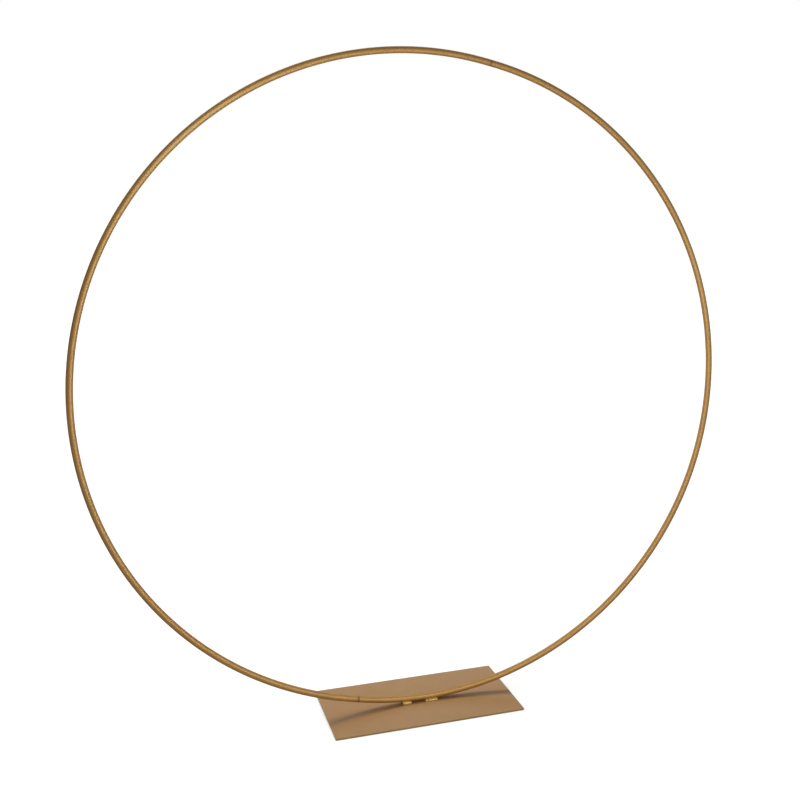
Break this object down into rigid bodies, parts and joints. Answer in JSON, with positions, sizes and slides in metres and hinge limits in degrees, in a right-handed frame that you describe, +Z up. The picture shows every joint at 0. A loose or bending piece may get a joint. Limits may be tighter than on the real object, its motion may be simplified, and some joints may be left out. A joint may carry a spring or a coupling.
{
  "type": "wreath frame",
  "caption": "Free-standing hoop frame for wreaths and hanging flowers: a thin metal tube ring in two push-together halves, one half welded upright on a flat rectangular plate.",
  "frame": {"origin": "on the surface that the plate rests on, straight under the middle of the hoop", "axes": "+Z up, +X along the hoop and the plate's long side towards the fixed half, +Y through the hoop towards its back"},
  "size_m": [1.0096, 0.161, 1.0047],
  "materials": {
    "hoop_coat": "satin metallic gold powder coat",
    "plate_coat": "satin metallic gold powder coat, duller and browner on the flat sheet",
    "bare_steel": "turned, uncoated"
  },
  "bodies": {
    "stand": {"base_plate": "plate_coat", "fixed_half_hoop": "hoop_coat", "upper_spigot": "bare_steel", "lower_spigot": "bare_steel", "weld_front_left": "hoop_coat", "weld_front_right": "hoop_coat", "weld_rear_left": "hoop_coat", "weld_rear_right": "hoop_coat"},
    "loose_half": {"loose_half_hoop": "hoop_coat"}
  },
  "joints": [
    {"name": "half_pull_off", "type": "slide", "parent": "stand", "child": "loose_half", "axis": [-0.9763, 0, 0.2164], "range_m": [0, 0.1]}
  ]
}
